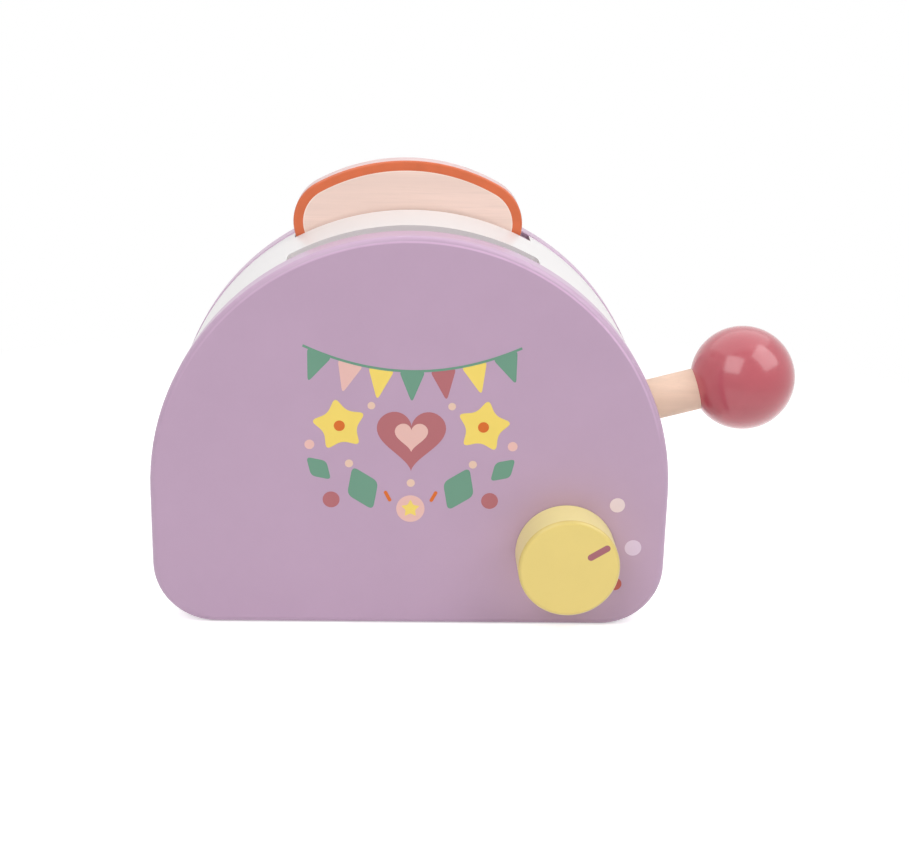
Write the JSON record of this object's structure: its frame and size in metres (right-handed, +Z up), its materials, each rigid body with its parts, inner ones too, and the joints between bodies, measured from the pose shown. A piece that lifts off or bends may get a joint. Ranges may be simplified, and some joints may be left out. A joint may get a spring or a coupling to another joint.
{
  "type": "toy toaster",
  "caption": "Arched wooden toy toaster with two toast slots, a removable slice of toast, a side lever with a ball that pops the toast up, and a clicking dial.",
  "frame": {"origin": "middle of the flat underside of the base board, on the surface the toaster stands on", "axes": "+X towards the lever and ball, +Y towards the back panel, +Z up"},
  "size_m": [0.243, 0.099, 0.165],
  "materials": {
    "panel_paint": "satin mauve paint on wood",
    "shell_paint": "satin white paint on bent plywood",
    "raw_plywood": "bare plywood",
    "raw_beech": "bare beech",
    "beech_dowel": "natural beech, sanded",
    "ball_paint": "glossy rose paint on wood",
    "knob_paint": "satin yellow paint on wood",
    "toast_paint": "pale wood with a painted crust",
    "zinc_steel": "zinc plated",
    "bright_steel": "drawn bar",
    "spring_steel": "polished strip",
    "nylon": "natural"
  },
  "bodies": {
    "housing": {"front_panel": "panel_paint", "back_panel": "panel_paint", "outer_shell": "shell_paint", "front_guide_board": "raw_plywood", "rear_guide_board": "raw_plywood", "base_board": "raw_plywood", "left_base_block": "raw_beech", "right_base_block": "raw_beech", "channel_end_strips": "raw_beech", "base_screws": "zinc_steel", "lever_pin": "bright_steel", "lever_spacers": "nylon", "spring_block": "raw_beech", "click_spring": "spring_steel", "spring_screws": "zinc_steel"},
    "lever": {"lever_dowel": "beech_dowel", "lever_ball": "ball_paint"},
    "carriage": {"lift_block": "raw_beech", "rub_bar": "bright_steel", "lift_dowels": "beech_dowel"},
    "toast": {"toast": "toast_paint"},
    "dial": {"dial_knob": "knob_paint", "dial_axle": "beech_dowel", "click_wheel": "raw_plywood", "wheel_washer": "zinc_steel", "wheel_screw": "zinc_steel"}
  },
  "joints": [
    {"name": "lever_hinge", "type": "hinge", "parent": "housing", "child": "lever", "pos_m": [0.05989, 0, 0.06805], "axis": [0, 1, 0], "range_deg": [0, 30]},
    {"name": "carriage_slide", "type": "slide", "parent": "housing", "child": "carriage", "axis": [0, 0, 1], "range_m": [0, 0.0322]},
    {"name": "toast_lift", "type": "slide", "parent": "carriage", "child": "toast", "axis": [0, 0, 1], "range_m": [0, 0.08]},
    {"name": "dial_turn", "type": "hinge", "parent": "housing", "child": "dial", "pos_m": [0.0576, 0, 0.0297], "axis": [0, 1, 0], "continuous": true, "deforming": ["click_spring"]}
  ],
  "couplings": [
    {"joint": "carriage_slide", "follows": "lever_hinge", "m_per_rad": 0.061294}
  ]
}
